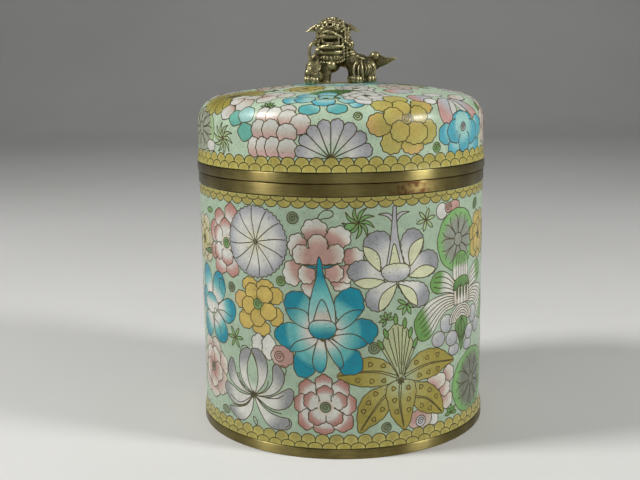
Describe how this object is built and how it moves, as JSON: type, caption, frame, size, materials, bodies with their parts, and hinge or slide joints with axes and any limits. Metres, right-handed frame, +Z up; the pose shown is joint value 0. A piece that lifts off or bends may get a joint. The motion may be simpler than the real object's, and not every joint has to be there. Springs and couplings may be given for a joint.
{
  "type": "cloisonne humidor",
  "caption": "Round enamelled copper jar with brass bands and a domed lift-off lid topped by a cast guardian lion.",
  "frame": {"origin": "on the jar's axis, at the surface it stands on", "axes": "+Z up along the jar's axis, -Y towards the front, which the lion faces, +X to the right as seen from the front"},
  "size_m": [0.1266, 0.1266, 0.1772],
  "materials": {
    "enamel": "glossy cloisonne enamel in many colours on copper",
    "brass": "turned and aged",
    "cast_brass": "cast, darkened in the hollows and worn bright on the high places"
  },
  "bodies": {
    "root": {"body_shell": "enamel", "foot_band": "brass", "rim_band": "brass", "lid_band": "brass", "lid_shell": "enamel", "lion_finial": "cast_brass"}
  },
  "joints": []
}
